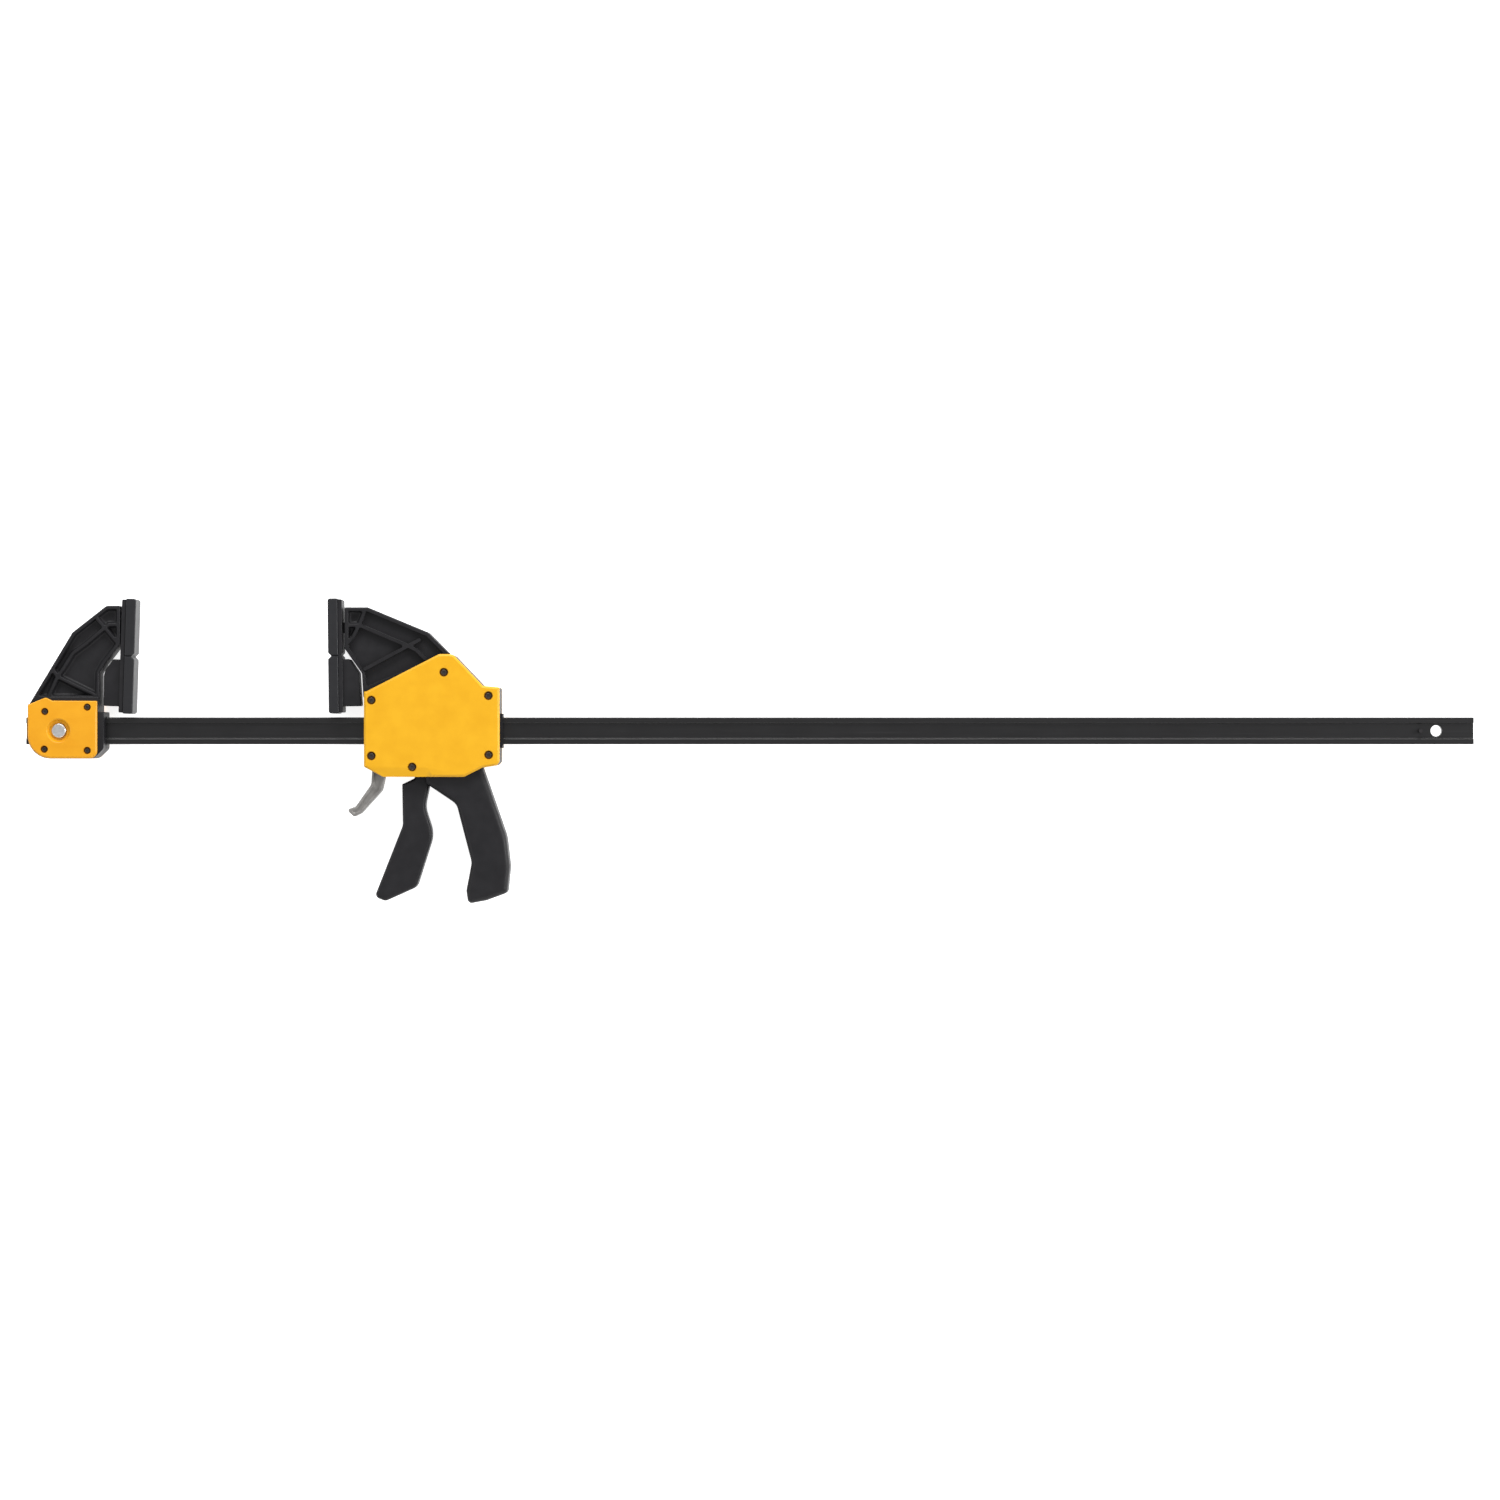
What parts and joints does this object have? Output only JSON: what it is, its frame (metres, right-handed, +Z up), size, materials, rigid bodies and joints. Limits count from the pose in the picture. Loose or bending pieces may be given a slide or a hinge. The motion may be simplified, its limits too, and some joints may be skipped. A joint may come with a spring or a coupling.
{
  "type": "one-handed trigger bar clamp",
  "caption": "Trigger bar clamp: I-section steel bar, fixed jaw with quick-change button, sliding jaw with trigger, handle and release lever, and rocking V-grooved pads.",
  "frame": {"origin": "under the middle of the whole clamp as it lies on its side, on the surface it lies on", "axes": "+X along the bar from the fixed jaw to the free end, +Y towards the jaw tips, +Z up through the clamp's thickness"},
  "size_m": [1.178, 0.2476, 0.039],
  "materials": {
    "bar_steel": "black oxide, satin",
    "black_body": "moulded glass-filled nylon, fine texture",
    "yellow_cover": "moulded, satin gloss",
    "pad_rubber": "soft, matt",
    "screw_steel": "zinc plated",
    "bright_steel": "turned and polished",
    "lever_metal": "cast, fine blasted",
    "spring_steel": "drawn wire"
  },
  "bodies": {
    "bar_and_fixed_jaw": {"bar": "bar_steel", "bar_stop_pin": "screw_steel", "fixed_jaw_body": "black_body", "fixed_jaw_front_cover": "yellow_cover", "fixed_jaw_back_cover": "yellow_cover", "fixed_jaw_screws": "screw_steel", "button_spring": "spring_steel", "fixed_pad_pin": "bright_steel"},
    "quick_change": {"quick_change_button": "bright_steel", "lock_peg": "bright_steel"},
    "fixed_pad": {"fixed_pad_shoe": "black_body", "fixed_pad_face": "pad_rubber"},
    "sliding_jaw": {"moving_jaw_body": "black_body", "housing_front_cover": "yellow_cover", "housing_back_cover": "yellow_cover", "housing_screws": "screw_steel", "front_bar_guide": "black_body", "rear_bar_guide": "black_body", "trigger_pin": "bright_steel", "drive_spring": "spring_steel", "brake_spring": "spring_steel", "moving_pad_pin": "bright_steel"},
    "trigger_lever": {"trigger": "black_body"},
    "drive": {"drive_plates": "bright_steel"},
    "brake": {"release_lever": "lever_metal"},
    "moving_pad": {"moving_pad_shoe": "black_body", "moving_pad_face": "pad_rubber"}
  },
  "joints": [
    {"name": "jaw_slide", "type": "slide", "parent": "bar_and_fixed_jaw", "child": "sliding_jaw", "axis": [1, 0, 0], "range_m": [-0.1552, 0.7438]},
    {"name": "trigger_squeeze", "type": "hinge", "parent": "sliding_jaw", "child": "trigger_lever", "pos_m": [-0.27, 0.042, 0.0195], "axis": [0, 0, 1], "range_deg": [0, 12.5], "stiffness_Nm_per_rad": 0.8, "springref_deg": -22.92},
    {"name": "drive_stroke", "type": "slide", "parent": "sliding_jaw", "child": "drive", "axis": [1, 0, 0], "range_m": [0, 0.0098], "deforming": ["drive_spring"]},
    {"name": "release_tilt", "type": "hinge", "parent": "sliding_jaw", "child": "brake", "pos_m": [-0.296, 0.036, 0.0195], "axis": [0, 0, 1], "range_deg": [0, 6.6], "stiffness_Nm_per_rad": 0.8, "springref_deg": -17.19, "deforming": ["brake_spring"]},
    {"name": "button_press", "type": "slide", "parent": "bar_and_fixed_jaw", "child": "quick_change", "axis": [0, 0, -1], "range_m": [0, 0.0055], "stiffness_N_per_m": 600, "springref_m": -0.004, "deforming": ["button_spring"]},
    {"name": "fixed_pad_tilt", "type": "hinge", "parent": "bar_and_fixed_jaw", "child": "fixed_pad", "pos_m": [-0.5163, 0.1, 0.0195], "axis": [0, 0, 1], "range_deg": [-0.5, 2]},
    {"name": "moving_pad_tilt", "type": "hinge", "parent": "sliding_jaw", "child": "moving_pad", "pos_m": [-0.3257, 0.1, 0.0195], "axis": [0, 0, 1], "range_deg": [-1.2, 1]}
  ],
  "couplings": [
    {"joint": "drive_stroke", "follows": "trigger_squeeze", "m_per_rad": 0.044}
  ]
}
